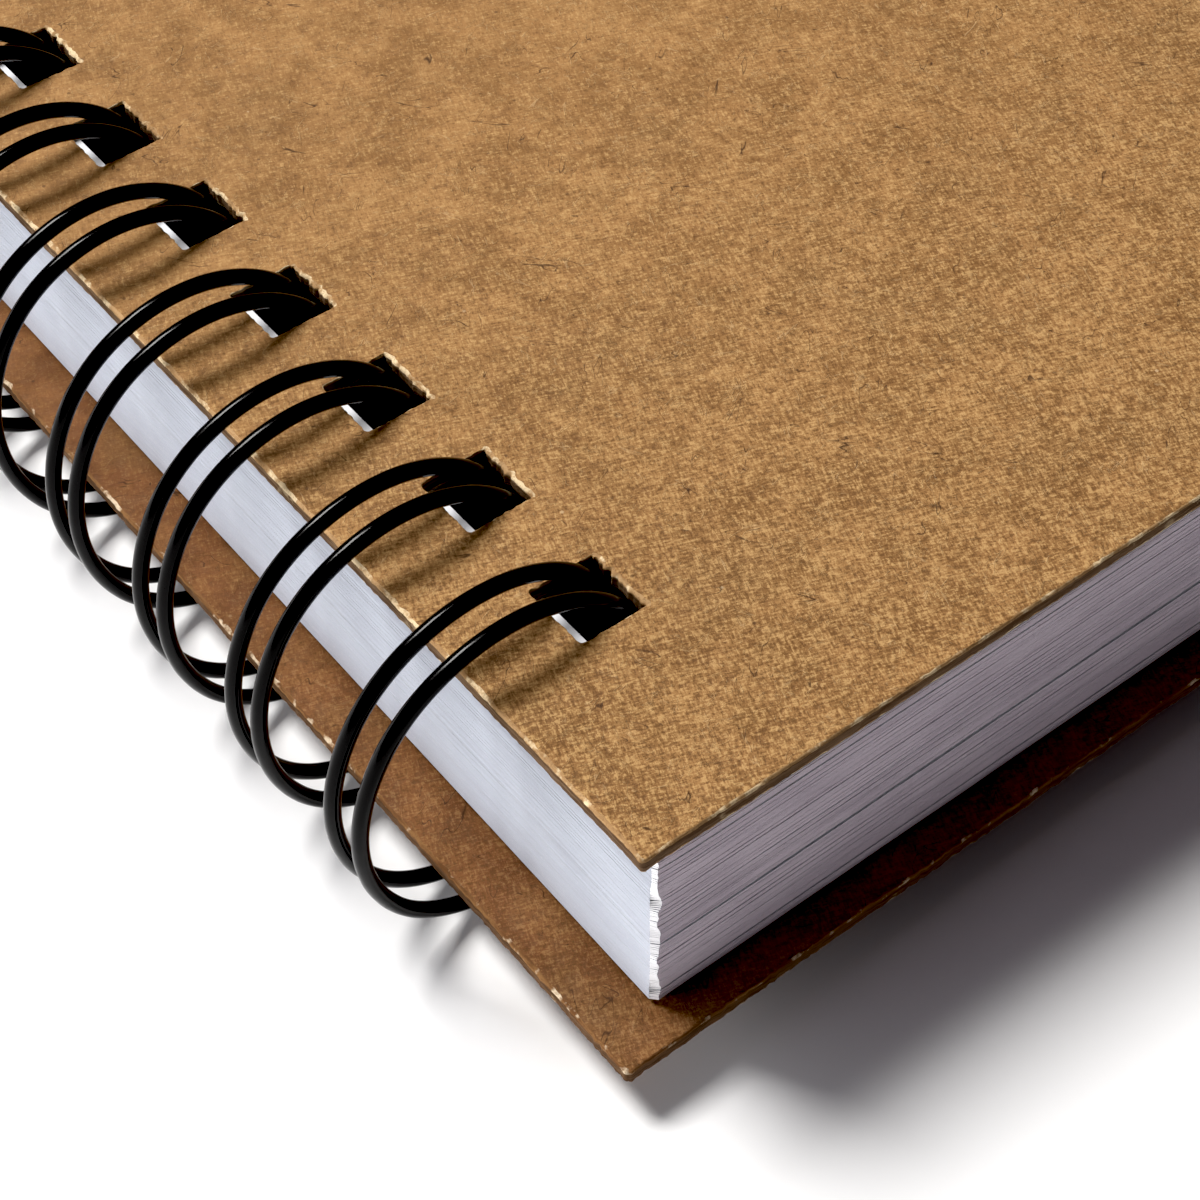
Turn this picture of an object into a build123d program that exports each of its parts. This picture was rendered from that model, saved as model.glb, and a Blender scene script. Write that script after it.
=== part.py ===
from build123d import *
import os
from math import atan2, cos, degrees, radians, sin, sqrt

# Twin-loop bound sketchbook, lying closed with its front cover up.
# X runs from the spine to the fore edge, Y along the spine, Z up. Millimetres.
# The origin is the centre of the bounding box, on the plane under the wire loops.

# Driving dimensions
SHEET_W = 215.9  # a sheet, spine edge to fore edge
SHEET_H = 279.4  # a sheet, bottom edge to top edge
SHEET_T = 0.2
SHEETS_PER_NODE = 5
SHEET_NODES = 20
BOARD_T = 1.4  # both covers
PITCH = 12.7  # loop to loop, two loops to the inch
LOOPS = 20
WIRE_D = 1.3  # coated wire
WIRE_SPACING = 3.4  # centre to centre of a loop's two wires
OVAL_HALF_WIDTH = 13.0  # wire centreline, from the loop's centre, along X
OVAL_HALF_HEIGHT = 14.85  # the same, along Z
OVAL_TIP_RADIUS = 12.3  # radius of the arcs at the top and the bottom of the loop

# How far each piece's spine edge stands from the loops' centre, towards -X
FRONT_SPINE_MARGIN = 2.85
SHEET_SPINE_MARGIN = 0.65
BACK_SPINE_MARGIN = 5.55
FRONT_FORE_MARGIN = 2.0  # how far each cover reaches past the sheets
BACK_FORE_MARGIN = 3.3
FRONT_END_MARGIN = 1.2
BACK_END_MARGIN = 3.3

# Punched holes. Each starts at this distance from the loops' centre, towards +X
HOLE_LENGTH = 6.0  # along Y
COVER_HOLE_START = 5.15
COVER_HOLE_WIDTH = 6.0
SHEET_HOLE_START = 5.9
SHEET_HOLE_WIDTH = 8.45

# The seam, where the loops' tips meet the wire that joins one loop to the next
SEAM_ANGLE = -70.0  # about the low arc's centre, so straight down is -90
SEAM_GAP = 0.5  # clear space between the tips and the joining wire
JOIN_BEND_RADIUS = 1.2

# Derived places
SHEET_STACK_T = SHEET_NODES * SHEETS_PER_NODE * SHEET_T
STACK_TOP_OVER_CENTRE = 10.8  # top of the front cover, above the loops' centre
BOX_LEFT = -OVAL_HALF_WIDTH - WIRE_D / 2
BOX_RIGHT = SHEET_W - SHEET_SPINE_MARGIN + BACK_FORE_MARGIN
CENTRE_X = -(BOX_LEFT + BOX_RIGHT) / 2
CENTRE_Z = OVAL_HALF_HEIGHT + WIRE_D / 2
FRONT_TOP_Z = CENTRE_Z + STACK_TOP_OVER_CENTRE
SHEETS_TOP_Z = FRONT_TOP_Z - BOARD_T
SHEETS_LOW_Z = SHEETS_TOP_Z - SHEET_STACK_T
BACK_LOW_Z = SHEETS_LOW_Z - BOARD_T
LOOP_Y = [(i - (LOOPS - 1) / 2) * PITCH for i in range(LOOPS)]


def punched_plate(x_min, x_max, height, thickness, low_z, hole_x, hole_width):
    """A flat, square-cut plate with one rectangular hole for each loop."""
    outline = Pos((x_min + x_max) / 2, 0) * Rectangle(x_max - x_min, height)
    hole = Rectangle(hole_width, HOLE_LENGTH)
    holes = [Pos(hole_x + hole_width / 2, y) * hole for y in LOOP_Y]
    return Pos(0, 0, low_z) * extrude(outline - holes, thickness)


def cover(spine_margin, fore_margin, end_margin, low_z):
    """One cover board."""
    return punched_plate(
        CENTRE_X - spine_margin,
        CENTRE_X - SHEET_SPINE_MARGIN + SHEET_W + fore_margin,
        SHEET_H + 2 * end_margin,
        BOARD_T,
        low_z,
        CENTRE_X + COVER_HOLE_START,
        COVER_HOLE_WIDTH,
    )


def sheet(low_z):
    """One drawing sheet."""
    return punched_plate(
        CENTRE_X - SHEET_SPINE_MARGIN,
        CENTRE_X - SHEET_SPINE_MARGIN + SHEET_W,
        SHEET_H,
        SHEET_T,
        low_z,
        CENTRE_X + SHEET_HOLE_START,
        SHEET_HOLE_WIDTH,
    )


def oval_arcs():
    """The oval's four arcs as (centre x, centre z, radius, from angle, to angle)."""
    rise = OVAL_HALF_HEIGHT - OVAL_TIP_RADIUS
    gap = OVAL_HALF_WIDTH - OVAL_TIP_RADIUS
    offset = (rise**2 - gap**2) / (2 * gap)
    side_radius = OVAL_HALF_WIDTH + offset
    half = degrees(atan2(rise, offset))  # each side arc reaches this far up and down
    return [
        (-offset, 0, side_radius, -half, half),
        (0, rise, OVAL_TIP_RADIUS, half, 180 - half),
        (offset, 0, side_radius, 180 - half, 180 + half),
        (0, -rise, OVAL_TIP_RADIUS, 180 + half, 360 - half),
    ]


def oval_point(arc, angle, y):
    """A point of an arc of the oval, at a loop's place along the spine."""
    x, z, radius = arc[:3]
    turn = radians(angle)
    return Vector(CENTRE_X + x + radius * cos(turn), y, CENTRE_Z + z + radius * sin(turn))


def arc_edge(arc, start, end, y):
    """Part of an arc of the oval, between two angles about that arc's centre."""
    middle = (start + end) / 2
    return ThreePointArc(*(oval_point(arc, a, y) for a in (start, middle, end)))


def loop_path(y):
    """One loop's wire: in along Y, up and round, a U-bend at the tip, back, and out."""
    arcs = oval_arcs()
    low = arcs[3]
    seam = SEAM_ANGLE + 360
    half_spacing = WIRE_SPACING / 2
    per_mm = degrees(1 / low[2])
    join_end = seam + (WIRE_D + SEAM_GAP + JOIN_BEND_RADIUS) * per_mm / 2
    tip_start = seam - (WIRE_D + SEAM_GAP) * per_mm - half_spacing * per_mm
    near, far = y - half_spacing, y + half_spacing
    spans = [
        (low, join_end, low[4]),
        *((arc, arc[3], arc[4]) for arc in arcs[:3]),
        (low, low[3], tip_start),
    ]
    out = [arc_edge(arc, start, end, near) for arc, start, end in spans]
    back = [arc_edge(arc, end, start, far) for arc, start, end in reversed(spans)]
    # the U-bend lies in the plane that is tangent to the oval at the tip
    along = radians(tip_start + 90)
    tip = oval_point(low, tip_start, y) + Vector(cos(along), 0, sin(along)) * half_spacing
    bend = ThreePointArc(out[-1] @ 1, tip, back[0] @ 0)
    # the joining wire runs along Y, and meets each wire in a quarter bend
    along = radians(join_end + 90)
    down = Vector(cos(along), 0, sin(along)) * -JOIN_BEND_RADIUS
    curve = JOIN_BEND_RADIUS * (1 - 1 / sqrt(2))
    ends = []
    for point, side in ((out[0] @ 0, -1), (back[-1] @ 1, 1)):
        aside = Vector(0, side * JOIN_BEND_RADIUS, 0)
        corner = point + down + aside
        middle = point + down * (1 / sqrt(2)) + aside * (1 - 1 / sqrt(2))
        join = Vector(corner.X, y + side * PITCH / 2, corner.Z)
        ends.append((point, middle, corner, join))
    (p0, m0, c0, j0), (p1, m1, c1, j1) = ends
    first = [Line(j0, c0), ThreePointArc(c0, m0, p0)]
    last = [ThreePointArc(p1, m1, c1), Line(c1, j1)]
    return [*first, *out, bend, *back, *last]


def binding_wire():
    """The whole binding: one wire, swept along every loop in turn."""
    edges = [piece for y in LOOP_Y for piece in loop_path(y)]
    path = Wire([edge for piece in edges for edge in piece.edges()])
    section = Plane(origin=path @ 0, z_dir=path % 0) * Circle(WIRE_D / 2)
    return sweep(section, path=path)


def main():
    os.makedirs("parts", exist_ok=True)
    nodes = {
        "front_cover": cover(
            FRONT_SPINE_MARGIN, FRONT_FORE_MARGIN, FRONT_END_MARGIN, SHEETS_TOP_Z
        ),
        "back_cover": cover(
            BACK_SPINE_MARGIN, BACK_FORE_MARGIN, BACK_END_MARGIN, BACK_LOW_Z
        ),
        "binding_wire": binding_wire(),
    }
    for group in range(SHEET_NODES):
        top = SHEETS_TOP_Z - group * SHEETS_PER_NODE * SHEET_T
        sheets = [sheet(top - (i + 1) * SHEET_T) for i in range(SHEETS_PER_NODE)]
        nodes[f"sheets_{group + 1:02d}"] = Compound(children=sheets)
    for name, shape in nodes.items():
        export_step(shape, f"parts/{name}.step")
        box = shape.bounding_box()
        print(name, len(shape.solids()), "solids", box.min, box.max)


main()
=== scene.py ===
from math import atan2, cos, pi, radians, sin, sqrt

import bmesh
import bpy
import numpy as np
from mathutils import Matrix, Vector, noise
from mathutils.geometry import delaunay_2d_cdt


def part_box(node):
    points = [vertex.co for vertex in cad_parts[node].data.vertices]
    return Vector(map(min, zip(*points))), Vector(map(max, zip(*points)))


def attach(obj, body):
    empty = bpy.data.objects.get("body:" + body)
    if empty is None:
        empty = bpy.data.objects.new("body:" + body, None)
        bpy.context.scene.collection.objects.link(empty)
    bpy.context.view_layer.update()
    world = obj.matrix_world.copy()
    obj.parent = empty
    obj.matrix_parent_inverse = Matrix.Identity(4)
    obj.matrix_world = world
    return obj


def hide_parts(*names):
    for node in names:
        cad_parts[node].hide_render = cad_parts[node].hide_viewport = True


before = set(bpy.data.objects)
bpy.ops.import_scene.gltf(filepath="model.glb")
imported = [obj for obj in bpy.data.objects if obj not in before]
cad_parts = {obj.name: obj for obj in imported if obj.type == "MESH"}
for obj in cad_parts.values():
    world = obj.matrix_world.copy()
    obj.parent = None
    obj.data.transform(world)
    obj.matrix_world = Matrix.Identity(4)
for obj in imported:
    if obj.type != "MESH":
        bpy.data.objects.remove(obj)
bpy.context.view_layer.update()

MM = 0.001

# ---------------------------------------------------------------- sizes, in metres

PITCH = 12.7 * MM
LOOPS = 20
WIRE_R = 0.65 * MM
WIRE_SPACING = 3.4 * MM
OVAL_HALF_WIDTH = 13.0 * MM
OVAL_HALF_HEIGHT = 14.85 * MM
OVAL_TIP_RADIUS = 12.3 * MM
SEAM_ANGLE = radians(-70)
SEAM_GAP = 0.5 * MM
JOIN_BEND_RADIUS = 1.2 * MM

HOLE_LENGTH = 6.0 * MM
COVER_HOLE = (5.25 * MM, 11.05 * MM)  # along X, from the loops' centre
SHEET_HOLE = (6.4 * MM, 14.3 * MM)

SHEET_NODES = 20
SHEETS_PER_NODE = 5
SHEETS = SHEET_NODES * SHEETS_PER_NODE

wire_lo, wire_hi = (Vector(corner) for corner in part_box("binding_wire"))
front_lo, front_hi = (Vector(corner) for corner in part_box("front_cover"))
back_lo, back_hi = (Vector(corner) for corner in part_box("back_cover"))
stack_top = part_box("sheets_01")[1][2]
stack_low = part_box(f"sheets_{SHEET_NODES:02d}")[0][2]

CENTRE_X = wire_lo.x + WIRE_R + OVAL_HALF_WIDTH
CENTRE_Z = (wire_lo.z + wire_hi.z) / 2
LOOP_Y = [(i - (LOOPS - 1) / 2) * PITCH for i in range(LOOPS)]


# ---------------------------------------------------------------- small helpers

def smooth(low, high, value):
    """0 below low, 1 above high, and an even ease between them."""
    t = np.clip((value - low) / (high - low), 0.0, 1.0)
    return t * t * (3 - 2 * t)


def new_object(name, mesh, materials, body, nodes):
    """Puts a mesh in the scene, riding on a body and standing for CAD nodes."""
    obj = bpy.data.objects.new(name, mesh)
    bpy.context.scene.collection.objects.link(obj)
    for material in materials:
        mesh.materials.append(material)
    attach(obj, body)
    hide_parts(*nodes)


def shade_smooth_by_angle(mesh, limit):
    """Smooth shading, with edges sharper than the limit kept crisp."""
    mesh.polygons.foreach_set("use_smooth", [True] * len(mesh.polygons))
    mesh.set_sharp_from_angle(angle=limit)


# ---------------------------------------------------------------- materials

class Nodes:
    """A material's node tree, with short calls for the nodes used here."""

    def __init__(self, name):
        self.material = bpy.data.materials.new(name)
        self.material.use_nodes = True
        self.tree = self.material.node_tree
        self.shader = self.tree.nodes["Principled BSDF"]
        self.coords = self.add("ShaderNodeTexCoord").outputs["Object"]

    def add(self, kind, **settings):
        """A new node, with its settings."""
        node = self.tree.nodes.new(kind)
        for key, value in settings.items():
            setattr(node, key, value)
        return node

    def link(self, source, target):
        self.tree.links.new(source, target)

    def feed(self, socket, value):
        """Sets a socket to a number or a colour, or links it."""
        if isinstance(value, bpy.types.NodeSocket):
            self.link(value, socket)
        else:
            socket.default_value = value

    def stretched(self, scale, turn=0.0):
        """The object's coordinates turned about Z, then scaled along each axis, per metre."""
        turned = self.add("ShaderNodeMapping")
        turned.inputs["Rotation"].default_value = (0, 0, turn)
        self.link(self.coords, turned.inputs["Vector"])
        mapping = self.add("ShaderNodeMapping")
        mapping.inputs["Scale"].default_value = scale
        self.link(turned.outputs["Vector"], mapping.inputs["Vector"])
        return mapping.outputs["Vector"]

    def noise(self, vector, scale=1.0, detail=2.0, roughness=0.5, distortion=0.0):
        """Noise from 0 to 1, with scale waves to each unit of the vector."""
        node = self.add("ShaderNodeTexNoise")
        self.link(vector, node.inputs["Vector"])
        node.inputs["Scale"].default_value = scale
        node.inputs["Detail"].default_value = detail
        node.inputs["Roughness"].default_value = roughness
        node.inputs["Distortion"].default_value = distortion
        return node.outputs["Fac"]

    def voronoi(self, scale, output="Distance"):
        """Random cells: the distance from the nearest cell's centre, or the cell's own colour."""
        node = self.add("ShaderNodeTexVoronoi")
        self.link(self.coords, node.inputs["Vector"])
        node.inputs["Scale"].default_value = scale
        return node.outputs[output]

    def math(self, operation, a, b=0.0):
        """An operation on one or two numbers or sockets."""
        node = self.add("ShaderNodeMath", operation=operation)
        self.feed(node.inputs[0], a)
        self.feed(node.inputs[1], b)
        return node.outputs[0]

    def band(self, value, low, high, start=0.0, end=1.0):
        """Maps low..high to start..end, eased and clamped."""
        node = self.add("ShaderNodeMapRange", interpolation_type="SMOOTHSTEP")
        node.inputs["From Min"].default_value = low
        node.inputs["From Max"].default_value = high
        node.inputs["To Min"].default_value = start
        node.inputs["To Max"].default_value = end
        self.link(value, node.inputs["Value"])
        return node.outputs["Result"]

    def mix(self, factor, a, b):
        """Colour a where the factor is 0, and colour b where it is 1."""
        node = self.add("ShaderNodeMix", data_type="RGBA")
        for index, value in ((0, factor), (6, a), (7, b)):
            self.feed(node.inputs[index], value)
        return node.outputs[2]

    def strands(self, turn, across, along, width, share):
        """Short wandering fibres: thin lines of a stretched noise, cut to lengths by another."""
        field = self.noise(self.stretched((along, across, across), turn), 1.0, 1.5, 0.5, 0.6)
        line = self.band(self.math("ABSOLUTE", self.math("SUBTRACT", field, 0.5)), width, 0.0)
        lengths = self.stretched((along * 1.4, across * 0.5, across * 0.5), turn + 0.2)
        cut = self.noise(lengths, 1.0, 1.0)
        return self.math("MULTIPLY", line, self.band(cut, share, share + 0.05))

    def fibres(self, turns, across, along, width, share):
        """Strands that run several ways, laid over each other."""
        layers = [self.strands(turn, across, along, width, share) for turn in turns]
        total = layers[0]
        for layer in layers[1:]:
            total = self.math("MAXIMUM", total, layer)
        return total

    def specks(self, scale, size, share):
        """Scattered flecks: small spots in a few of the cells."""
        spot = self.band(self.voronoi(scale), size, size * 0.55)
        cell = self.add("ShaderNodeSeparateColor")
        self.link(self.voronoi(scale, "Color"), cell.inputs[0])
        return self.math("MULTIPLY", spot, self.band(cell.outputs[0], share, share + 0.01))

    def surface(self, tone, specular, roughness, height, distance, strength):
        """Colour, gloss and bump for the shader. Gives back the material."""
        bump = self.add("ShaderNodeBump")
        bump.inputs["Strength"].default_value = strength
        bump.inputs["Distance"].default_value = distance
        self.link(height, bump.inputs["Height"])
        self.link(bump.outputs["Normal"], self.shader.inputs["Normal"])
        self.link(tone, self.shader.inputs["Base Color"])
        self.link(roughness, self.shader.inputs["Roughness"])
        self.shader.inputs["Specular IOR Level"].default_value = specular
        return self.material


# linear colours of the boards
KRAFT = (0.335, 0.172, 0.063, 1)
KRAFT_DEEP = (0.235, 0.115, 0.039, 1)
KRAFT_DARK_PATCH = (0.22, 0.118, 0.045, 1)
KRAFT_PALE_PATCH = (0.43, 0.232, 0.088, 1)
KRAFT_PALE_BLOTCH = (0.46, 0.275, 0.12, 1)
KRAFT_DARK_BLOTCH = (0.16, 0.072, 0.024, 1)
KRAFT_PALE_GRAIN = (0.55, 0.335, 0.14, 1)
KRAFT_DARK_GRAIN = (0.115, 0.052, 0.017, 1)
PALE_FIBRE = (0.58, 0.39, 0.2, 1)
DARK_FIBRE = (0.05, 0.022, 0.01, 1)
DARK_SPECK = (0.07, 0.032, 0.016, 1)
PALE_SPECK = (0.65, 0.47, 0.28, 1)
CUT_PIT = (0.10, 0.055, 0.025, 1)

GRAIN_ALONG, GRAIN_ACROSS, GRAIN_DEEP = 1500, 5600, 4200  # waves per metre
GRAIN_TURN = 0.35  # about Z, in radians
HANDLED_LENGTH = 7 * PITCH  # from the bottom edge, where the grain is rougher
HANDLED_GRAIN, OTHER_GRAIN = 1.0, 0.45


def kraft_board(name, base, deep, pale_share):
    """Unbleached board: mottled tan, with pale and dark fibres and small flecks."""
    n = Nodes(name)
    patch = n.noise(n.coords, 85, 3, 0.55)
    cloud = n.noise(n.coords, 260, 4, 0.6)
    blotch = n.noise(n.coords, 900, 4, 0.7)
    warp = n.noise(n.stretched((GRAIN_ALONG, GRAIN_ACROSS, GRAIN_DEEP), GRAIN_TURN), 1.0, 2, 0.7)
    weft = n.noise(n.stretched((GRAIN_ACROSS, GRAIN_ALONG, GRAIN_DEEP), GRAIN_TURN), 1.0, 2, 0.7)
    grit = n.math("SUBTRACT", n.math("MULTIPLY", n.math("ADD", warp, weft), 0.5), 0.5)
    # the grain is raised by handling near the bottom edge, and smoother further up
    place = n.add("ShaderNodeSeparateXYZ")
    n.link(n.coords, place.inputs[0])
    handled = n.band(
        place.outputs["Y"], front_lo.y, front_lo.y + HANDLED_LENGTH, HANDLED_GRAIN, OTHER_GRAIN
    )
    grit = n.math("ADD", n.math("MULTIPLY", grit, handled), 0.5)
    pale = n.fibres((0.3, 1.1, 2.0, 2.8), 1500, 330, 0.012, 0.55)
    dark = n.fibres((0.8, 2.4), 700, 170, 0.01, 0.61)
    tone = n.mix(n.band(cloud, 0.35, 0.65), base, deep)
    for share, colour in (
        (n.band(patch, 0.5, 0.68, 0, 0.4), KRAFT_DARK_PATCH),
        (n.band(patch, 0.5, 0.34, 0, 0.3 * pale_share), KRAFT_PALE_PATCH),
        (n.band(blotch, 0.48, 0.72, 0, 0.45 * pale_share), KRAFT_PALE_BLOTCH),
        (n.band(blotch, 0.46, 0.3, 0, 0.45), KRAFT_DARK_BLOTCH),
        (n.band(grit, 0.5, 0.6, 0, 0.75 * pale_share), KRAFT_PALE_GRAIN),
        (n.band(grit, 0.5, 0.39, 0, 0.75), KRAFT_DARK_GRAIN),
        (n.math("MULTIPLY", pale, 0.35 * pale_share), PALE_FIBRE),
        (n.math("MULTIPLY", dark, 0.85), DARK_FIBRE),
        (n.math("MULTIPLY", n.specks(520, 0.10, 0.88), 0.6), DARK_SPECK),
        (n.math("MULTIPLY", n.specks(430, 0.08, 0.9), 0.5 * pale_share), PALE_SPECK),
    ):
        tone = n.mix(share, tone, colour)
    height = n.math("ADD", n.math("MULTIPLY", grit, 0.75), n.math("MULTIPLY", blotch, 0.6))
    height = n.math("ADD", height, n.math("MULTIPLY", pale, 0.25))
    return n.surface(tone, 0.25, n.band(blotch, 0.3, 0.7, 0.66, 0.86), height, 0.11 * MM, 0.9)


def board_cut(name, base, deep, pale, share):
    """The cut side of a board: greyer plies in thin layers, with pale torn patches; its dark
    colours are partly painted shade, and a rim's pale patches partly a painted highlight.
    """
    n = Nodes(name)
    plies = n.noise(n.stretched((260, 260, 5200)), 1.0, 3, 0.6)
    patch = n.noise(n.coords, 420, 4, 0.62)
    fine = n.noise(n.coords, 5200, 3, 0.7)
    tone = n.mix(n.band(plies, 0.38, 0.62), base, deep)
    tone = n.mix(n.band(patch, share, share + 0.1), tone, pale)
    tone = n.mix(n.band(fine, 0.5, 0.3, 0, 0.5), tone, CUT_PIT)
    height = n.math("ADD", n.math("MULTIPLY", plies, 0.7), n.math("MULTIPLY", fine, 0.6))
    return n.surface(tone, 0.2, n.band(patch, 0.3, 0.7, 0.8, 0.95), height, 0.08 * MM, 0.9)


# linear colours of the paper and of the wire's coat
PAPER_WHITE = (0.80, 0.81, 0.84, 1)
PAPER_SHADE = (0.75, 0.76, 0.80, 1)
# the streak colour is painted shade in the lines between the sheets
CUT_STREAK_SHADE = (0.3, 0.26, 0.31, 1)
CUT_LINT = (0.8, 0.76, 0.8, 1)
# the holes' walls are painted dark as shade inside the punched holes
HOLE_SHADE_GREY = (0.16, 0.145, 0.15, 1)
HOLE_SHADE_DARK = (0.10, 0.09, 0.095, 1)
COAT_BLACK = (0.0035, 0.0033, 0.0033, 1)
COAT_SCUFF = (0.012, 0.011, 0.011, 1)


def drawing_paper(name):
    """Matt white paper with a slight tooth."""
    n = Nodes(name)
    tooth = n.noise(n.coords, 3000, 3, 0.6)
    cloud = n.noise(n.coords, 160, 3, 0.6)
    tone = n.mix(n.band(cloud, 0.3, 0.7), PAPER_WHITE, PAPER_SHADE)
    return n.surface(tone, 0.2, n.band(tooth, 0.3, 0.7, 0.8, 0.95), tooth, 0.02 * MM, 0.6)


def paper_cut(name, base, deep, streaking, glow=0.0):
    """The cut edges of the sheets, streaked along them with painted shade between the sheets. The
    glow is emission of their colour: painted light from a part that is no lamp.
    """
    n = Nodes(name)
    streak = n.noise(n.stretched((90, 90, 9000)), 1.0, 3, 0.6)
    cloud = n.noise(n.stretched((110, 110, 380)), 1.0, 3, 0.55)
    lint = n.noise(n.coords, 4200, 3, 0.65)
    tone = n.mix(n.band(cloud, 0.35, 0.65), base, deep)
    # dark streaks along the cut: painted shade between the sheets
    tone = n.mix(n.band(streak, 0.45, 0.28, 0, 0.5 * streaking), tone, CUT_STREAK_SHADE)
    tone = n.mix(n.band(lint, 0.55, 0.75, 0, 0.35), tone, CUT_LINT)
    # the emission is painted light: it brightens the edge though the paper is no lamp
    if glow:
        n.link(tone, n.shader.inputs["Emission Color"])
        n.shader.inputs["Emission Strength"].default_value = glow
    height = n.math("ADD", n.math("MULTIPLY", streak, streaking), n.math("MULTIPLY", lint, 0.5))
    return n.surface(tone, 0.15, n.band(lint, 0.3, 0.7, 0.85, 0.97), height, 0.02 * MM, 0.4)


def shaded_hole_wall(name):
    """The walls of the sheets' punched holes, dark grey in streaks as painted shade inside the
    narrow holes.
    """
    n = Nodes(name)
    streak = n.noise(n.stretched((300, 300, 9000)), 1.0, 3, 0.6)
    tone = n.mix(n.band(streak, 0.35, 0.65), HOLE_SHADE_GREY, HOLE_SHADE_DARK)
    n.link(tone, n.shader.inputs["Base Color"])
    n.shader.inputs["Specular IOR Level"].default_value = 0.1
    n.shader.inputs["Roughness"].default_value = 0.95
    return n.material


def coated_wire(name):
    """Steel wire in a glossy black nylon coat, a little uneven, with faint scuffs."""
    n = Nodes(name)
    uneven = n.noise(n.coords, 700, 3, 0.55)
    fine = n.noise(n.coords, 5200, 2, 0.6)
    tone = n.mix(n.band(fine, 0.62, 0.75, 0, 0.5), COAT_BLACK, COAT_SCUFF)
    n.shader.inputs["Coat Weight"].default_value = 0.06
    n.shader.inputs["Coat Roughness"].default_value = 0.08
    height = n.math("ADD", n.math("MULTIPLY", uneven, 0.8), n.math("MULTIPLY", fine, 0.2))
    return n.surface(tone, 0.1, n.band(uneven, 0.3, 0.75, 0.12, 0.26), height, 0.03 * MM, 0.6)


def matte(name, colour, roughness):
    """A plain matt surface with the faintest speckle."""
    n = Nodes(name)
    speckle = n.noise(n.coords, 900, 2)
    light = (*(min(1, c * 1.01) for c in colour[:3]), 1)
    n.link(n.mix(speckle, colour, light), n.shader.inputs["Base Color"])
    n.shader.inputs["Roughness"].default_value = roughness
    return n.material


# ---------------------------------------------------------------- covers

CORNER_RADIUS = 0.5 * MM
HOLE_CORNER_RADIUS = 0.25 * MM
OUTLINE_STEP = 0.4 * MM  # between the points of a cover's outline
HOLE_STEP = 0.16 * MM
CORNER_STEPS = 5  # on a quarter turn
COARSE_WANDER = 3.1 * MM  # length of the cut edges' waves
FINE_WANDER = 0.45 * MM

# a hole is torn most where the punch broke through, on its side away from the spine
TORN_DEPTH = 0.32 * MM
TORN_BACK = 0.08 * MM  # how far that side stands into the hole
CLEAN_DEPTH = 0.12 * MM
TORN_RIM, CLEAN_RIM = 1.2, 0.35  # share of the full rim
# the wider pale rim on the spine side is partly a painted highlight on that lit edge
SPINE_RIM, OTHER_RIM = 1.0, 0.6

KNOCK_REACH = 1.8 * MM  # of the bend in a cover's near spine corner
KNOCK_DEPTH = 0.28 * MM
SHARP_BOARD_EDGE = radians(50)

# the board's materials, by their place in the list
FACE, CUT, RIM = 0, 1, 2

# the rings round each cut edge, from the top face down to the lower face: how far in from the
# edge in mm, how far down as a share of the thickness, and the material below the ring
UNEVEN_INSET = 0.26
RINGS = (
    (0.55, 0.0, FACE),
    (UNEVEN_INSET, 0.0, RIM),
    (0.08, 0.05, RIM),
    (0.0, 0.17, CUT),
    (0.0, 0.38, CUT),
    (0.0, 0.62, CUT),
    (0.0, 0.83, RIM),
    (0.08, 0.95, RIM),
    (UNEVEN_INSET, 1.0, FACE),
    (0.55, 1.0, FACE),
)
PLY_DEPTH = 0.07 * MM  # how far the plies of the cut side stand in and out
PLY_WAVE = 0.4 * MM
RIM_WAVE = 0.7 * MM

GRID_STEP = 6 * MM  # between the points spread over a cover
HOLE_ROW_MARGIN = 1 * MM  # kept free of them, on both sides of the row of holes


def ragged(x, y, seed, depth):
    """A small in-and-out wander of a cut edge."""
    coarse = noise.noise(Vector((x / COARSE_WANDER, y / COARSE_WANDER, seed)))
    fine = noise.noise(Vector((x / FINE_WANDER, y / FINE_WANDER, seed + 9.0)))
    return depth * (coarse * 0.5 + fine * 0.8)


def rounded_rectangle(x0, x1, y0, y1, radius, step):
    """Closed outline, anticlockwise, as (x, y, outward x, outward y)."""
    corners = (
        (x1 - radius, y0 + radius, -90),
        (x1 - radius, y1 - radius, 0),
        (x0 + radius, y1 - radius, 90),
        (x0 + radius, y0 + radius, 180),
    )
    points = []
    for index, (cx, cy, start) in enumerate(corners):
        for i in range(CORNER_STEPS + 1):
            a = radians(start + 90 * i / CORNER_STEPS)
            points.append((cx + radius * cos(a), cy + radius * sin(a), cos(a), sin(a)))
        nx, ny, _ = corners[(index + 1) % 4]
        a = radians(start + 90)
        ax, ay = cx + radius * cos(a), cy + radius * sin(a)
        bx, by = nx + radius * cos(a), ny + radius * sin(a)
        count = max(2, round(sqrt((bx - ax) ** 2 + (by - ay) ** 2) / step))
        for i in range(1, count):
            t = i / count
            points.append((ax + (bx - ax) * t, ay + (by - ay) * t, cos(a), sin(a)))
    return points


def outer_edge(lo, hi, seed, depth):
    """The board's outline, trimmed a little unevenly, each point with its share of rim."""
    out = []
    for x, y, ox, oy in rounded_rectangle(lo.x, hi.x, lo.y, hi.y, CORNER_RADIUS, OUTLINE_STEP):
        shift = ragged(x, y, seed, depth) - depth / 2
        rim = SPINE_RIM if ox < -0.5 else OTHER_RIM
        out.append((x + ox * shift, y + oy * shift, ox, oy, rim))
    return out


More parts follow.
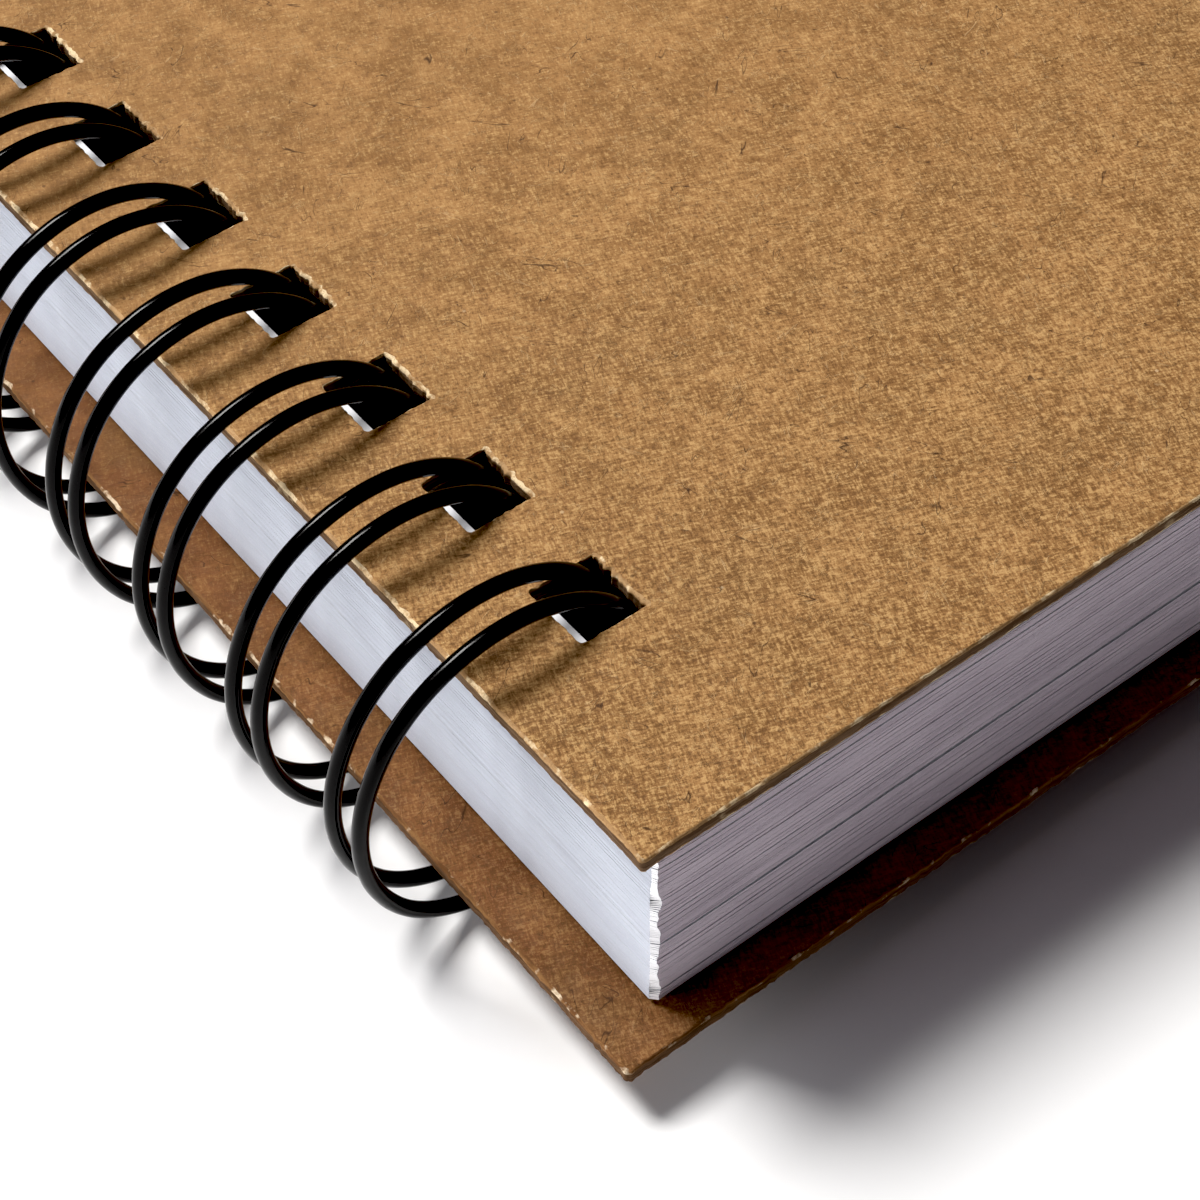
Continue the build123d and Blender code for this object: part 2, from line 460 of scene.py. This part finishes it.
def hole_edge(y, shift, seed):
    """A punched hole's outline, clockwise, each point with its share of rim."""
    hole = rounded_rectangle(
        CENTRE_X + COVER_HOLE[0],
        CENTRE_X + COVER_HOLE[1],
        y + shift - HOLE_LENGTH / 2,
        y + shift + HOLE_LENGTH / 2,
        HOLE_CORNER_RADIUS,
        HOLE_STEP,
    )
    out = []
    for px, py, ox, oy in reversed(hole):
        if ox > 0.5:
            depth, back, rim = TORN_DEPTH, TORN_BACK, TORN_RIM
        else:
            depth, back, rim = CLEAN_DEPTH, 0.0, CLEAN_RIM
        pull = ragged(px, py, seed, depth) - back
        out.append((px + ox * pull, py + oy * pull, -ox, -oy, rim))
    return out


def knocked_corner(x, y):
    """How far the near spine corner of a cover is bent down, by the distances from its edges."""
    near = max(0.0, 1 - sqrt(x * x + y * y) / KNOCK_REACH)
    return KNOCK_DEPTH * near * near


def is_inside(p, ring):
    """Whether a point is inside a closed ring of points."""
    odd = False
    x, y = p
    for (ax, ay), (bx, by) in zip(ring, ring[1:] + ring[:1]):
        if (ay > y) != (by > y) and x < (bx - ax) * (y - ay) / (by - ay) + ax:
            odd = not odd
    return odd


def board_grid(lo, hi):
    """Points spread over the board, and a few between each hole and the next."""
    nx, ny = int((hi.x - lo.x) / GRID_STEP), int((hi.y - lo.y) / GRID_STEP)
    row = (
        CENTRE_X + COVER_HOLE[0] - HOLE_ROW_MARGIN,
        CENTRE_X + COVER_HOLE[1] + HOLE_ROW_MARGIN,
    )
    points = []
    for i in range(1, nx):
        x = lo.x + (hi.x - lo.x) * i / nx
        if not row[0] < x < row[1]:
            points += [Vector((x, lo.y + (hi.y - lo.y) * j / ny)) for j in range(1, ny)]
    for y in LOOP_Y[:-1]:
        points += [Vector((row[0] + (row[1] - row[0]) * i / 4, y + PITCH / 2)) for i in range(5)]
    return points


def edge_rings(loop, hi, thickness, seed, verts):
    """Adds the points of the rings round one cut edge, and gives the rings as their numbers."""
    rings = []
    for inset, depth, _ in RINGS:
        ring = []
        for x, y, ox, oy, rim in loop:
            pull = inset * rim * MM
            if inset == UNEVEN_INSET:
                pull *= 1 + 0.7 * noise.noise(Vector((x, y, seed * MM)) / RIM_WAVE)
            if 0 < depth < 1:
                pull += PLY_DEPTH * noise.noise(Vector((x, y, depth * 5 * MM)) / PLY_WAVE)
            ring.append(len(verts))
            verts.append((x - ox * pull, y - oy * pull, hi.z - thickness * depth))
        rings.append(ring)
    return rings


def flat_face(rings, lo, hi, z, verts):
    """Triangles between a board's outline and its holes, on one of its two faces."""
    flat, edges, ids, outlines = [], [], [], []
    for ring in rings:
        start = len(flat)
        edges += [(start + k, start + (k + 1) % len(ring)) for k in range(len(ring))]
        flat += [Vector(verts[index][:2]) for index in ring]
        ids += ring
        outlines.append([verts[index][:2] for index in ring])
    points, _, triangles, origin, _, _ = delaunay_2d_cdt(
        flat + board_grid(lo, hi), edges, [], 0, 1e-9
    )
    mapped = []
    for point, sources in zip(points, origin):
        source = [s for s in sources if s < len(ids)]
        if source:
            mapped.append(ids[source[0]])
        else:
            mapped.append(len(verts))
            verts.append((point.x, point.y, z))
    faces = []
    for triangle in triangles:
        middle = sum((Vector(points[i]) for i in triangle), Vector((0, 0))) / 3
        nearest = min(range(LOOPS), key=lambda k: abs(LOOP_Y[k] - middle.y))
        if is_inside(middle, outlines[0]) and not is_inside(middle, outlines[nearest + 1]):
            faces.append(tuple(mapped[i] for i in triangle))
    return faces


def board(name, lo, hi, materials, body, node, seed, edge_depth, first_hole_shift=0.0):
    """A punched cover board: cut edges darker than its face, partly painted shade, torn holes and
    a pressed pale rim, partly a painted highlight.
    """
    loops = [outer_edge(lo, hi, seed, edge_depth)]
    for k, y in enumerate(LOOP_Y):
        loops.append(hole_edge(y, first_hole_shift if k == 0 else 0.0, seed + k))
    verts, faces, kinds, top_rings, low_rings = [], [], [], [], []
    for loop in loops:
        rings = edge_rings(loop, hi, hi.z - lo.z, seed, verts)
        top_rings.append(rings[0])
        low_rings.append(rings[-1])
        for above, below, (_, _, kind) in zip(rings, rings[1:], RINGS):
            for i in range(len(above)):
                j = (i + 1) % len(above)
                faces.append((above[i], below[i], below[j], above[j]))
                kinds.append(kind)
    faces += flat_face(top_rings, lo, hi, hi.z, verts)
    faces += [tuple(reversed(face)) for face in flat_face(low_rings, lo, hi, lo.z, verts)]
    kinds += [FACE] * (len(faces) - len(kinds))
    verts = [(x, y, z - knocked_corner(x - lo.x, y - lo.y)) for x, y, z in verts]
    mesh = bpy.data.meshes.new(name)
    mesh.from_pydata(verts, [], faces)
    new_object(name, mesh, materials, body, [node])
    mesh.polygons.foreach_set("material_index", kinds)
    mesh.update()
    work = bmesh.new()
    work.from_mesh(mesh)
    bmesh.ops.recalc_face_normals(work, faces=work.faces)
    work.to_mesh(mesh)
    work.free()
    shade_smooth_by_angle(mesh, SHARP_BOARD_EDGE)


# ---------------------------------------------------------------- sheets

# the sheets' materials, by their place in the list
PAPER_FACE, FORE_CUT, HOLE_WALL, SPINE_CUT, RUBBED = range(5)
SHARP_SHEET_EDGE = radians(30)

# lines of the sheets' grid: how far in they are from each edge, and the steps beyond the holes
SPINE_LINES = (0, 0.5 * MM, 1.4 * MM, 3.4 * MM)
BOTTOM_LINES = (0, 0.5 * MM, 1.4 * MM, 4 * MM, 9 * MM)
TOP_LINES = (9 * MM, 4 * MM, 1.2 * MM, 0)
FORE_LINE = 1.2 * MM
FIRST_STEP, STEP_GROWTH, LAST_STEP = 3.2 * MM, 1.12, 14 * MM

SHEET_T = 0.178 * MM  # the paper alone: the rest of the stack's height is gaps
WAVE_ACROSS, WAVE_ALONG = 70 * MM, 90 * MM  # length of the gaps' waves, along X and along Y
GAP_SHAPE, GAP_SCALE = 2.0, 0.13  # of the gamma distribution of the gaps' sizes
GAP_RAMP = 4 * MM  # the sheets are pressed together at the spine, and part over this length
SPINE_GAP_SHARE = 0.04
EVEN_GAP = 0.12  # added to every gap, beside a usual size of 0.26

# spread of the sheets' edges in mm: spine, fore, bottom, top
EDGE_DRIFT = (0.006, 0.012, 0.012, 0.012)  # from each sheet to the next
EDGE_JITTER = (0.003, 0.03, 0.014, 0.03)  # of each sheet alone
EDGE_LIMIT = 0.2
SET_BACK_SHEETS = 2  # the lowest sheets stand back from the rest, at the spine and the bottom
SET_BACK_SPINE, SET_BACK_BOTTOM = 0.6, 0.3

# spread in mm of single grid points along an edge
SPINE_NIBBLE, BOTTOM_NIBBLE, OTHER_NIBBLE = 0.003, 0.008, 0.012

# the rubbed corner: in mm, with a slow and a fast wave down the stack, in sheets
SLOW_WAVE, FAST_WAVE = 17.0, 4.3
RUBBED_ALONG = (-0.1, 0.45, 0.22)  # the mean, and the share of each wave
RUBBED_INWARD = (0.47, 0.2, 0.03)

# where the stack has parted: the sheet below the gap, counted from 0 at the top, and how much
# wider than usual the gap is
PARTED = (
    (2, 7.0),
    (6, 6.0),
    (10, 9.0),
    (15, 6.0),
    (21, 4.0),
    (34, 3.0),
    (47, 2.0),
    (61, 12.0),
    (80, 2.5),
    (92, 3.0),
)


def grid_lines():
    """Where the sheets' grid has its lines, along X and along Y."""
    lo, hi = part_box("sheets_01")
    hole_a, hole_b = CENTRE_X + SHEET_HOLE[0], CENTRE_X + SHEET_HOLE[1]
    xs = [lo[0] + inward for inward in SPINE_LINES]
    xs += [hole_a, (hole_a + hole_b) / 2, hole_b]
    step = FIRST_STEP
    while xs[-1] + step * 1.2 < hi[0] - FORE_LINE:
        xs.append(xs[-1] + step)
        step = min(step * STEP_GROWTH, LAST_STEP)
    xs += [hi[0] - FORE_LINE, hi[0]]
    ys = [lo[1] + inward for inward in BOTTOM_LINES]
    for y in LOOP_Y:
        ys += [y - HOLE_LENGTH / 2, y, y + HOLE_LENGTH / 2]
        if y != LOOP_Y[-1]:
            ys.append(y + PITCH / 2)
    ys += [hi[1] - inward for inward in TOP_LINES]
    return np.array(xs), np.array(ys)


def wander(count, length_scale, points, seed):
    """As many smooth random curves over the given places, of about -1 to 1."""
    rng = np.random.default_rng(seed)
    out = np.zeros((count, len(points)))
    for octave in (1.0, 2.3, 4.9):
        phase = rng.uniform(0, 2 * pi, (count, 1))
        scale = length_scale / octave * rng.uniform(0.7, 1.4, (count, 1))
        out += np.sin(points[None, :] / scale * 2 * pi + phase) / octave
    return out / 1.6


def sheet_levels(xs, ys):
    """Top and bottom heights of every sheet at every grid point, with thin uneven gaps."""
    across = wander(SHEETS, WAVE_ACROSS, xs, 11)[:, :, None]
    along = wander(SHEETS, WAVE_ALONG, ys, 12)[:, None, :]
    shape = np.clip(across * 0.6 + along * 0.6, -1, 1) * 0.5 + 0.5
    size = np.random.default_rng(13).gamma(GAP_SHAPE, GAP_SCALE, SHEETS)
    for index, extra in PARTED:
        size[index] += extra
    ramp = smooth(0.0, GAP_RAMP, xs - xs[0])[None, :, None]
    opened = SPINE_GAP_SHARE + (1 - SPINE_GAP_SHARE) * ramp
    gaps = size[:, None, None] * (0.5 + 0.7 * shape) * opened + EVEN_GAP
    spare = stack_top - stack_low - SHEETS * SHEET_T
    gaps = gaps / gaps.sum(0, keepdims=True) * spare
    low = stack_top - np.cumsum(gaps + SHEET_T, axis=0)
    return low + SHEET_T, low


def sheet_offsets():
    """How far each sheet's edges stand from the nominal ones: spine, fore, bottom, top."""
    rng = np.random.default_rng(21)
    drift = np.cumsum(rng.normal(0, EDGE_DRIFT, (SHEETS, 4)), axis=0)
    drift -= drift.mean(0)
    jitter = rng.normal(0, EDGE_JITTER, (SHEETS, 4))
    offsets = np.clip(drift + jitter, -EDGE_LIMIT, EDGE_LIMIT)
    offsets[-SET_BACK_SHEETS:, 0] += SET_BACK_SPINE
    offsets[-SET_BACK_SHEETS:, 2] += SET_BACK_BOTTOM
    return offsets * MM


def sheets_pad(index, xs, ys, tops, lows, offsets, materials):
    """The five sheets of one node as one piece of separate closed shells."""
    nx, ny = len(xs), len(ys)
    solid = ~hole_cells(xs, ys)
    half = nx * ny
    verts, faces, kinds = [], [], []
    for sheet in range(index * SHEETS_PER_NODE, (index + 1) * SHEETS_PER_NODE):
        base = len(verts)
        grid_x, grid_y = sheet_grid(xs, ys, sheet, offsets[sheet])
        for level in (tops[sheet], lows[sheet]):
            verts.extend(np.stack([grid_x, grid_y, level], -1).reshape(-1, 3).tolist())
        for i, j in np.argwhere(solid).tolist():
            a, b = base + i * ny + j, base + (i + 1) * ny + j
            faces.append((a, b, b + 1, a + 1))
            faces.append((a + half, a + 1 + half, b + 1 + half, b + half))
            kinds += [PAPER_FACE, PAPER_FACE]
            bottom_cut = RUBBED if i == 0 else FORE_CUT
            sides = (
                (i == 0, i == 0 or not solid[i - 1, j], a + 1, a, SPINE_CUT),
                (i == nx - 2, i == nx - 2 or not solid[i + 1, j], b, b + 1, FORE_CUT),
                (j == 0, j == 0 or not solid[i, j - 1], a, b, bottom_cut),
                (j == ny - 2, j == ny - 2 or not solid[i, j + 1], b + 1, a + 1, FORE_CUT),
            )
            for is_outer, is_edge, p, q, cut in sides:
                if is_edge:
                    faces.append((q, p, p + half, q + half))
                    kinds.append(cut if is_outer else HOLE_WALL)
    node = f"sheets_{index + 1:02d}"
    name = f"{node}_paper"
    mesh = bpy.data.meshes.new(name)
    mesh.from_pydata(verts, [], faces)
    new_object(name, mesh, materials, f"leaf_{index + 1:02d}", [node])
    mesh.polygons.foreach_set("material_index", kinds)
    mesh.update()
    work = bmesh.new()
    work.from_mesh(mesh)
    loose = [v for v in work.verts if not v.link_faces]
    bmesh.ops.delete(work, geom=loose, context="VERTS")
    work.to_mesh(mesh)
    work.free()
    shade_smooth_by_angle(mesh, SHARP_SHEET_EDGE)


def hole_cells(xs, ys):
    """Which cells of the grid are punched out."""
    mid_x = (xs[:-1] + xs[1:]) / 2
    mid_y = (ys[:-1] + ys[1:]) / 2
    in_x = (mid_x > CENTRE_X + SHEET_HOLE[0]) & (mid_x < CENTRE_X + SHEET_HOLE[1])
    in_y = np.min(np.abs(mid_y[:, None] - np.array(LOOP_Y)[None, :]), axis=1) < HOLE_LENGTH / 2
    return in_x[:, None] & in_y[None, :]


def sheet_grid(xs, ys, sheet, offsets):
    """One sheet's grid points: its edges moved by its own offsets, nibbled, a corner rubbed."""
    spine, fore, bottom, top = offsets
    gx, gy = xs.copy(), ys.copy()
    gx[:3] += spine
    gx[-2:] += fore
    gy[:3] += bottom
    gy[-2:] += top
    grid_x, grid_y = np.meshgrid(gx, gy, indexing="ij")
    grid_x = grid_x + edge_nibble(len(xs), len(ys), 0, sheet)
    grid_y = grid_y + edge_nibble(len(xs), len(ys), 1, sheet)
    along, inward = worn_corner(sheet)
    grid_x[1, 0] += along
    grid_y[0, 0] += inward
    return grid_x, grid_y


def worn_corner(sheet):
    """The near spine corner's rubbed face: its far end's shift along X, and its depth along Y."""
    slow = noise.noise(Vector((sheet / SLOW_WAVE, 0.3, 0.7)))
    fast = noise.noise(Vector((sheet / FAST_WAVE, 5.3, 2.7)))
    along, inward = (a + b * slow + c * fast for a, b, c in (RUBBED_ALONG, RUBBED_INWARD))
    return along * MM, inward * MM


def edge_nibble(nx, ny, axis, sheet):
    """Fine unevenness of the cut edges, on the outermost grid points alone."""
    rng = np.random.default_rng(1000 + sheet * 2 + axis)
    out = np.zeros((nx, ny))
    if axis == 0:
        out[0, :] = rng.normal(0, SPINE_NIBBLE, ny)
        out[-1, :] = rng.normal(0, OTHER_NIBBLE, ny)
    else:
        out[:, 0] = rng.normal(0, BOTTOM_NIBBLE, nx)
        out[:, -1] = rng.normal(0, OTHER_NIBBLE, nx)
    return out * MM


# ---------------------------------------------------------------- wire

ARC_STEP = 0.35 * MM  # between the points of a loop
U_BEND_STEPS = 12
JOIN_BEND_STEPS = 8
WIRE_ROUNDNESS = 6


def oval_arcs():
    """The oval's four arcs as (centre x, centre z, radius, from angle, to angle)."""
    rise = OVAL_HALF_HEIGHT - OVAL_TIP_RADIUS
    gap = OVAL_HALF_WIDTH - OVAL_TIP_RADIUS
    offset = (rise**2 - gap**2) / (2 * gap)
    half = atan2(rise, offset)
    return [
        (-offset, 0, OVAL_HALF_WIDTH + offset, -half, half),
        (0, rise, OVAL_TIP_RADIUS, half, pi - half),
        (offset, 0, OVAL_HALF_WIDTH + offset, pi - half, pi + half),
        (0, -rise, OVAL_TIP_RADIUS, pi + half, 2 * pi - half),
    ]


def arc_point(arc, a):
    """A point of an arc of the oval, in the plane of Y = 0."""
    x, z, radius = arc[:3]
    return Vector((CENTRE_X + x + radius * cos(a), 0, CENTRE_Z + z + radius * sin(a)))


def arc_points(arc, start, end):
    """Points along part of an arc of the oval, the last one left out."""
    count = max(2, round(abs(end - start) * arc[2] / ARC_STEP))
    return [arc_point(arc, start + (end - start) * i / count) for i in range(count)]


def loop_points(y):
    """One loop's wire: in along Y, up and round, a U-bend at the tip, back, and out."""
    arcs = oval_arcs()
    low = arcs[3]
    half_spacing = WIRE_SPACING / 2
    seam = SEAM_ANGLE + 2 * pi
    join_end = seam + (2 * WIRE_R + SEAM_GAP + JOIN_BEND_RADIUS) / low[2] / 2
    tip_start = seam - (2 * WIRE_R + SEAM_GAP + half_spacing) / low[2]
    spans = [
        (low, join_end, low[4]),
        *((arc, arc[3], arc[4]) for arc in arcs[:3]),
        (low, low[3], tip_start),
    ]
    side = []
    for arc, start, end in spans:
        side += arc_points(arc, start, end)
    tip = arc_point(low, tip_start)
    onward = Vector((-sin(tip_start), 0, cos(tip_start)))
    bend = []
    for i in range(U_BEND_STEPS + 1):
        a = pi * i / U_BEND_STEPS
        bend.append(tip + onward * half_spacing * sin(a) + Vector((0, -half_spacing * cos(a), 0)))
    down = Vector((-sin(join_end), 0, cos(join_end))) * -1
    foot = side[0]
    quarter = []
    for i in range(1, JOIN_BEND_STEPS + 1):
        a = pi / 2 * i / JOIN_BEND_STEPS
        run = foot + down * JOIN_BEND_RADIUS * sin(a)
        quarter.append(run + Vector((0, -JOIN_BEND_RADIUS * (1 - cos(a)), 0)))
    near = Vector((0, y - half_spacing, 0))
    far = Vector((0, y + half_spacing, 0))
    points = [p + near for p in reversed(quarter)]
    points += [p + near for p in side]
    points += [p + Vector((0, y, 0)) for p in bend]
    points += [p + far for p in reversed(side)]
    points += [Vector((p.x, -p.y, p.z)) + far for p in quarter]
    return points


def binding_wire(material):
    """The whole binding as one round tube along one path, with closed ends."""
    name = "binding_wire_coated"
    path = [p for y in LOOP_Y for p in loop_points(y)]
    start, end = path[0].copy(), path[-1].copy()
    start.y = LOOP_Y[0] - PITCH / 2
    end.y = LOOP_Y[-1] + PITCH / 2
    path = [start, *path, end]
    curve = bpy.data.curves.new("binding_wire_curve", "CURVE")
    curve.dimensions = "3D"
    curve.bevel_depth = WIRE_R
    curve.bevel_resolution = WIRE_ROUNDNESS
    curve.use_fill_caps = True
    spline = curve.splines.new("POLY")
    spline.points.add(len(path) - 1)
    for point, place in zip(spline.points, path):
        point.co = (*place, 1)
    holder = bpy.data.objects.new("binding_wire_holder", curve)
    bpy.context.scene.collection.objects.link(holder)
    graph = bpy.context.evaluated_depsgraph_get()
    mesh = bpy.data.meshes.new_from_object(holder.evaluated_get(graph))
    bpy.data.objects.remove(holder)
    bpy.data.curves.remove(curve)
    mesh.name = name
    mesh.materials.clear()
    mesh.polygons.foreach_set("use_smooth", [True] * len(mesh.polygons))
    new_object(name, mesh, [material], "back_board", ["binding_wire"])


# ---------------------------------------------------------------- the object

FRONT_SEED, BACK_SEED = 3.0, 43.0
FRONT_WANDER, BACK_WANDER = 0.07 * MM, 0.14 * MM  # how ragged the trim is
FIRST_HOLE_SHIFT = -0.4 * MM  # in the front cover, towards the bottom edge

# each cut or rim: two colours of the plies, one of the torn patches, and where the patches start
# the cut colours are darker than the board's own, partly painted shade for the unlit cut sides;
# the rim's cream torn patches are partly a painted highlight where the edges catch the light
FRONT_CUT = ((0.17, 0.105, 0.06, 1), (0.085, 0.045, 0.022, 1), (0.34, 0.25, 0.15, 1), 0.6)
FRONT_RIM_AND_HIGHLIGHT = ((0.44, 0.27, 0.13, 1), (0.33, 0.19, 0.085, 1), (0.74, 0.57, 0.35, 1), 0.48)
# the back cover is the same kraft board as the front, its colours set darker as painted shade,
# with fewer pale flecks; its rim's pale patches are partly a painted highlight
BACK_KRAFT_SHADED = ((0.205, 0.083, 0.029, 1), (0.135, 0.05, 0.017, 1))
BACK_SHADED_PALE_SHARE = 0.3
BACK_CUT_SHADED = ((0.15, 0.08, 0.04, 1), (0.07, 0.035, 0.016, 1), (0.36, 0.25, 0.15, 1), 0.62)
BACK_RIM_SHADED_WITH_HIGHLIGHT = ((0.25, 0.125, 0.05, 1), (0.14, 0.062, 0.025, 1), (0.7, 0.55, 0.38, 1), 0.53)

# each cut of the sheets: two colours, how much it is streaked, and its glow where it has one. The
# fore and spine cut colours are darker than the paper's face as painted shade between the sheets;
# the spine cut's are bluish for the cool side light, the others purple-grey for their shade
FORE_PAPER_SHADED = ((0.63, 0.55, 0.62, 1), (0.55, 0.475, 0.545, 1), 0.7)
SPINE_PAPER_COOL_LIT = ((0.56, 0.585, 0.655, 1), (0.53, 0.55, 0.62, 1), 0.1)
# the rubbed corner's emission glow is painted light, and its paler colour than the other cuts is
# partly painted light too
RUBBED_PAPER_PAINTED_GLOW = ((0.93, 0.92, 0.94, 1), (0.88, 0.87, 0.89, 1), 0.05, 0.28)

front_materials = (
    kraft_board("kraft_board", KRAFT, KRAFT_DEEP, 1.0),
    board_cut("board_cut", *FRONT_CUT),
    board_cut("board_rim", *FRONT_RIM_AND_HIGHLIGHT),
)
shaded_back_materials = (
    kraft_board("kraft_board_back_shaded", *BACK_KRAFT_SHADED, BACK_SHADED_PALE_SHARE),
    board_cut("board_cut_back_shaded", *BACK_CUT_SHADED),
    board_cut("board_rim_back_shaded", *BACK_RIM_SHADED_WITH_HIGHLIGHT),
)
board(
    "front_cover_board",
    front_lo,
    front_hi,
    front_materials,
    "front_board",
    "front_cover",
    FRONT_SEED,
    FRONT_WANDER,
    FIRST_HOLE_SHIFT,
)
board(
    "back_cover_board",
    back_lo,
    back_hi,
    shaded_back_materials,
    "back_board",
    "back_cover",
    BACK_SEED,
    BACK_WANDER,
)

paper = (
    drawing_paper("drawing_paper"),
    paper_cut("paper_cut", *FORE_PAPER_SHADED),
    shaded_hole_wall("shaded_hole_wall"),
    paper_cut("paper_cut_spine_cool_lit", *SPINE_PAPER_COOL_LIT),
    paper_cut("paper_rubbed_painted_glow", *RUBBED_PAPER_PAINTED_GLOW),
)
lines_x, lines_y = grid_lines()
sheet_tops, sheet_lows = sheet_levels(lines_x, lines_y)
edge_offsets = sheet_offsets()
for node_index in range(SHEET_NODES):
    sheets_pad(node_index, lines_x, lines_y, sheet_tops, sheet_lows, edge_offsets, paper)

binding_wire(coated_wire("coated_wire"))


# ---------------------------------------------------------------- stage

FLOOR_REACH = 6.0
FLOOR_COLOUR = (0.93, 0.93, 0.935, 1)
FLOOR_ROUGHNESS = 0.85

# each light: where it stands, where it points, its two sides, watts, colour
KEY_LIGHT = ((-0.3, 0.52, 1.04), (-0.06, -0.1, 0.0), (0.45, 0.45), 22.0, (1.0, 0.985, 0.96))
SIDE_LIGHT = ((-1.1, 0.6, 0.2), (-0.1, -0.1, 0.01), (1.2, 0.34), 16.3, (0.95, 0.97, 1.0))
WORLD_STRENGTH = 0.05
WORLD_COLOUR = (0.95, 0.85, 0.95)

# the camera, fitted to the photo: its direction, its distance, its lens, and the point on the
# front cover that it looks at, from that cover's near spine corner
CAMERA_TURN, CAMERA_RISE = radians(-38.12), radians(49.76)
CAMERA_DISTANCE = 14.445 * PITCH
AIM_X, AIM_Y = 0.911 * PITCH, 1.51 * PITCH
SENSOR_WIDTH, FOCAL_LENGTH = 36, 78.5  # mm
CLIP_START = 0.005

BLACK_LEVEL = 0.012  # of the picture: all that is darker turns black


def floor():
    """A wide pale floor under the object."""
    mesh = bpy.data.meshes.new("floor")
    corners = [(-1, -1), (1, -1), (1, 1), (-1, 1)]
    verts = [(x * FLOOR_REACH, y * FLOOR_REACH, 0) for x, y in corners]
    mesh.from_pydata(verts, [], [(0, 1, 2, 3)])
    obj = bpy.data.objects.new("floor", mesh)
    bpy.context.scene.collection.objects.link(obj)
    mesh.materials.append(matte("floor_pale", FLOOR_COLOUR, FLOOR_ROUGHNESS))


def area_light(name, place, target, size, watts, colour):
    """A rectangular light that points at a target."""
    light = bpy.data.lights.new(name, "AREA")
    light.shape = "RECTANGLE"
    light.size, light.size_y = size
    light.energy = watts
    light.color = colour
    obj = bpy.data.objects.new(name, light)
    bpy.context.scene.collection.objects.link(obj)
    obj.location = place
    obj.rotation_euler = (Vector(target) - Vector(place)).to_track_quat("-Z", "Y").to_euler()
    return obj


def world_light(strength, colour):
    """An even light from all round."""
    world = bpy.data.worlds.new("studio")
    world.use_nodes = True
    background = world.node_tree.nodes["Background"]
    background.inputs["Color"].default_value = (*colour, 1)
    background.inputs["Strength"].default_value = strength
    bpy.context.scene.world = world


def camera():
    """The photo's view: the near spine corner, from above and from the spine's side."""
    flat = cos(CAMERA_RISE)
    away = Vector((sin(CAMERA_TURN) * flat, -cos(CAMERA_TURN) * flat, sin(CAMERA_RISE)))
    aim = Vector((front_lo.x + AIM_X, front_lo.y + AIM_Y, front_hi.z))
    data = bpy.data.cameras.new("camera")
    data.sensor_width = SENSOR_WIDTH
    data.lens = FOCAL_LENGTH
    data.clip_start = CLIP_START
    obj = bpy.data.objects.new("camera", data)
    bpy.context.scene.collection.objects.link(obj)
    obj.location = aim + away * CAMERA_DISTANCE
    obj.rotation_euler = (-away).to_track_quat("-Z", "Y").to_euler()
    bpy.context.scene.camera = obj


floor()
area_light("key", *KEY_LIGHT)
side_light = area_light("side", *SIDE_LIGHT)
side_light.visible_glossy = False
world_light(WORLD_STRENGTH, WORLD_COLOUR)
camera()
view = bpy.context.scene.view_settings
view.view_transform = "Standard"
view.use_curve_mapping = True
view.curve_mapping.black_level = (BLACK_LEVEL, BLACK_LEVEL, BLACK_LEVEL)
view.curve_mapping.update()
